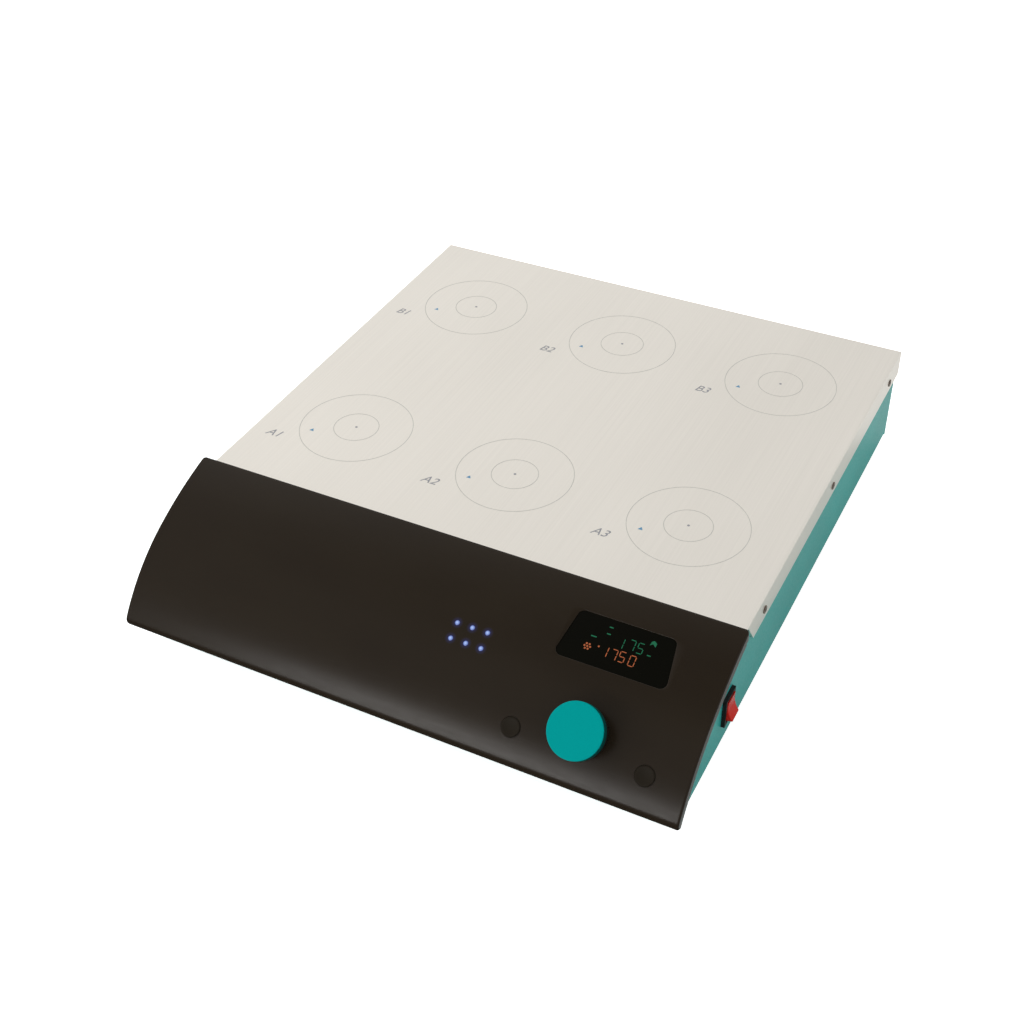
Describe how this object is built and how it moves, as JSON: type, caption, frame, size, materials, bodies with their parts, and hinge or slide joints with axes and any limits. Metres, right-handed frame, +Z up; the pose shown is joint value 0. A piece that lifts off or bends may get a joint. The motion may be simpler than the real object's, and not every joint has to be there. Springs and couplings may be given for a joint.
{
  "type": "multi-position magnetic stirrer",
  "caption": "Bench magnetic stirrer: flat steel plate over rows of motor-driven magnets, sloping black control panel with display, knob and buttons, teal sheet housing.",
  "frame": {"origin": "on the table, under the middle of the footprint", "axes": "+X along the front to the right, +Y from the control panel to the back, +Z up"},
  "size_m": [0.376, 0.4299, 0.0865],
  "materials": {
    "teal_paint": "satin powder coat",
    "plate_steel": "brushed along Y",
    "panel_black": "glossy",
    "foot_rubber": "matt",
    "dark_screws": "blackened",
    "zinc_screws": "zinc plated",
    "deck_aluminium": "mill finish",
    "motor_casing": "satin",
    "shaft_steel": "ground",
    "carrier_aluminium": "turned",
    "magnet_nickel": "nickel plated",
    "board_laminate": "lacquered",
    "transformer_core": "taped",
    "capacitor_sleeve": "glossy",
    "ribbon_pvc": "satin",
    "window_acrylic": "polished",
    "module_black": "matt",
    "lens_clear": "clear, lit",
    "encoder_metal": "satin",
    "knob_black": "satin",
    "knob_turquoise": "satin",
    "button_black": "satin",
    "switch_black": "satin",
    "rocker_red": "glossy",
    "pin_nickel": "nickel plated",
    "fuse_glass": "clear with metal ends"
  },
  "bodies": {
    "housing": {"base_pan": "teal_paint", "side_panel_left": "teal_paint", "side_panel_right": "teal_paint", "back_panel": "teal_paint", "top_plate": "plate_steel", "front_panel": "panel_black", "feet": "foot_rubber", "foot_screws": "dark_screws", "top_plate_screws": "dark_screws", "housing_screws": "dark_screws", "motor_deck": "deck_aluminium", "deck_pillars": "deck_aluminium", "deck_screws": "zinc_screws", "motor_a1": "motor_casing", "motor_a2": "motor_casing", "motor_a3": "motor_casing", "motor_b1": "motor_casing", "motor_b2": "motor_casing", "motor_b3": "motor_casing", "supply_board": "board_laminate", "supply_transformer": "transformer_core", "supply_capacitors": "capacitor_sleeve", "control_board": "board_laminate", "ribbon_cables": "ribbon_pvc", "display_window": "window_acrylic", "display_module": "module_black", "indicator_board": "board_laminate", "light_pipes": "lens_clear", "keypad_board": "board_laminate", "tact_switches": "module_black", "encoder_body": "encoder_metal", "switch_body": "switch_black", "inlet_body": "switch_black", "inlet_pins": "pin_nickel"},
    "knob": {"encoder_shaft": "shaft_steel", "knob_body": "knob_black", "knob_cap": "knob_turquoise"},
    "button_left": {"button_left": "button_black"},
    "button_right": {"button_right": "button_black"},
    "rocker": {"rocker": "rocker_red"},
    "fuse_drawer": {"fuse_drawer": "switch_black", "fuse": "fuse_glass"},
    "rotor_a1": {"spindle_a1": "shaft_steel", "magnet_carrier_a1": "carrier_aluminium", "magnets_a1": "magnet_nickel"},
    "rotor_a2": {"spindle_a2": "shaft_steel", "magnet_carrier_a2": "carrier_aluminium", "magnets_a2": "magnet_nickel"},
    "rotor_a3": {"spindle_a3": "shaft_steel", "magnet_carrier_a3": "carrier_aluminium", "magnets_a3": "magnet_nickel"},
    "rotor_b1": {"spindle_b1": "shaft_steel", "magnet_carrier_b1": "carrier_aluminium", "magnets_b1": "magnet_nickel"},
    "rotor_b2": {"spindle_b2": "shaft_steel", "magnet_carrier_b2": "carrier_aluminium", "magnets_b2": "magnet_nickel"},
    "rotor_b3": {"spindle_b3": "shaft_steel", "magnet_carrier_b3": "carrier_aluminium", "magnets_b3": "magnet_nickel"}
  },
  "joints": [
    {"name": "knob_turn", "type": "hinge", "parent": "housing", "child": "knob", "pos_m": [0.1212, -0.19217, 0.04747], "axis": [0, -0.6756, 0.7373], "continuous": true},
    {"name": "button_left_press", "type": "slide", "parent": "housing", "child": "button_left", "axis": [0, 0.6756, -0.7373], "range_m": [0, 0.0008], "stiffness_N_per_m": 1500, "springref_m": -0.0002},
    {"name": "button_right_press", "type": "slide", "parent": "housing", "child": "button_right", "axis": [0, 0.6756, -0.7373], "range_m": [0, 0.0008], "stiffness_N_per_m": 1500, "springref_m": -0.0002},
    {"name": "rocker_tilt", "type": "hinge", "parent": "housing", "child": "rocker", "pos_m": [0.1805, -0.12733, 0.036], "axis": [0, 1, 0], "range_deg": [0, 24]},
    {"name": "fuse_drawer_slide", "type": "slide", "parent": "housing", "child": "fuse_drawer", "axis": [0, 1, 0], "range_m": [0, 0.02]},
    {"name": "rotor_a1_spin", "type": "hinge", "parent": "housing", "child": "rotor_a1", "pos_m": [-0.12, -0.03533, 0.07], "axis": [0, 0, 1], "continuous": true},
    {"name": "rotor_a2_spin", "type": "hinge", "parent": "housing", "child": "rotor_a2", "pos_m": [0, -0.03533, 0.07], "axis": [0, 0, 1], "continuous": true},
    {"name": "rotor_a3_spin", "type": "hinge", "parent": "housing", "child": "rotor_a3", "pos_m": [0.12, -0.03533, 0.07], "axis": [0, 0, 1], "continuous": true},
    {"name": "rotor_b1_spin", "type": "hinge", "parent": "housing", "child": "rotor_b1", "pos_m": [-0.12, 0.13667, 0.07], "axis": [0, 0, 1], "continuous": true},
    {"name": "rotor_b2_spin", "type": "hinge", "parent": "housing", "child": "rotor_b2", "pos_m": [0, 0.13667, 0.07], "axis": [0, 0, 1], "continuous": true},
    {"name": "rotor_b3_spin", "type": "hinge", "parent": "housing", "child": "rotor_b3", "pos_m": [0.12, 0.13667, 0.07], "axis": [0, 0, 1], "continuous": true}
  ]
}
